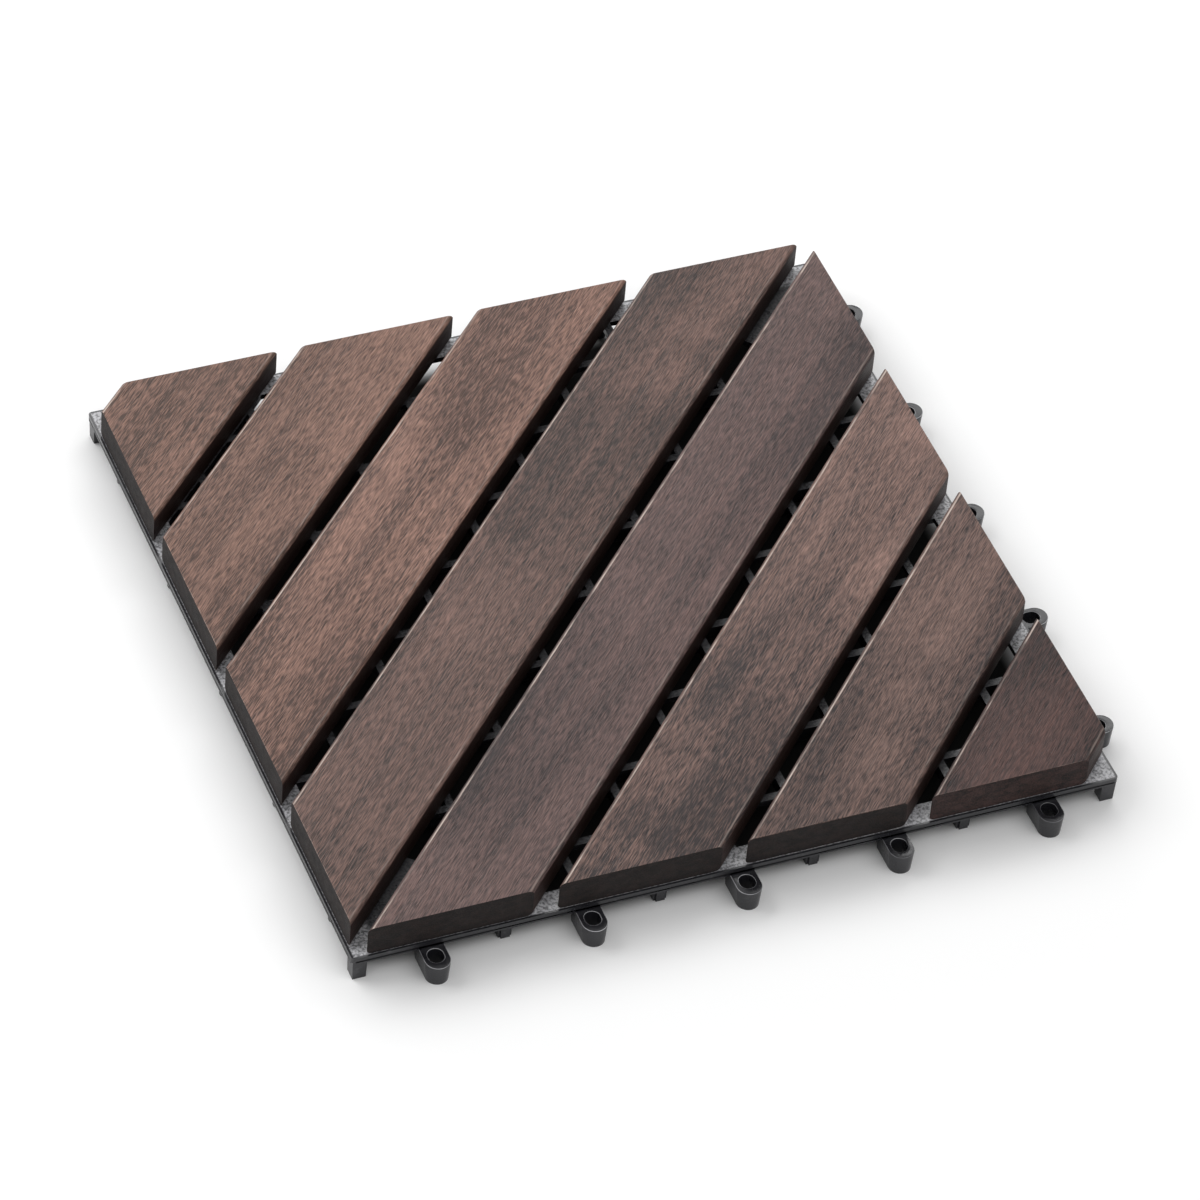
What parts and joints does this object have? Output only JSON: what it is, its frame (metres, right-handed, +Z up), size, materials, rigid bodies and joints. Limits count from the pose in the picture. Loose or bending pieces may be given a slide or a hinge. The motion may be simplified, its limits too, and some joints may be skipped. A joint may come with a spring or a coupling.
{
  "type": "interlocking deck tile",
  "caption": "Square deck tile: diagonal wooden slats screwed to a moulded plastic grid base with loops and pegs along its edges that lock neighbouring tiles together.",
  "frame": {"origin": "on the ground under the middle of the square base, at the end of the middle foot", "axes": "+Z up through the slats, +X and -Y towards the sides with loops, -X and +Y towards the sides with pegs; the slats run along the diagonal from -X -Y to +X +Y"},
  "size_m": [0.3115, 0.3115, 0.024],
  "materials": {
    "stained_wood": "planed hardwood, dark grey-brown stain, satin",
    "base_plastic": "black moulded polypropylene, satin",
    "screw_steel": "plain zinc-plated steel"
  },
  "bodies": {
    "root": {"base_grid": "base_plastic", "middle_slat_front": "stained_wood", "second_slat_front": "stained_wood", "third_slat_front": "stained_wood", "corner_slat_front": "stained_wood", "middle_slat_rear": "stained_wood", "second_slat_rear": "stained_wood", "third_slat_rear": "stained_wood", "corner_slat_rear": "stained_wood", "screws": "screw_steel"}
  },
  "joints": []
}
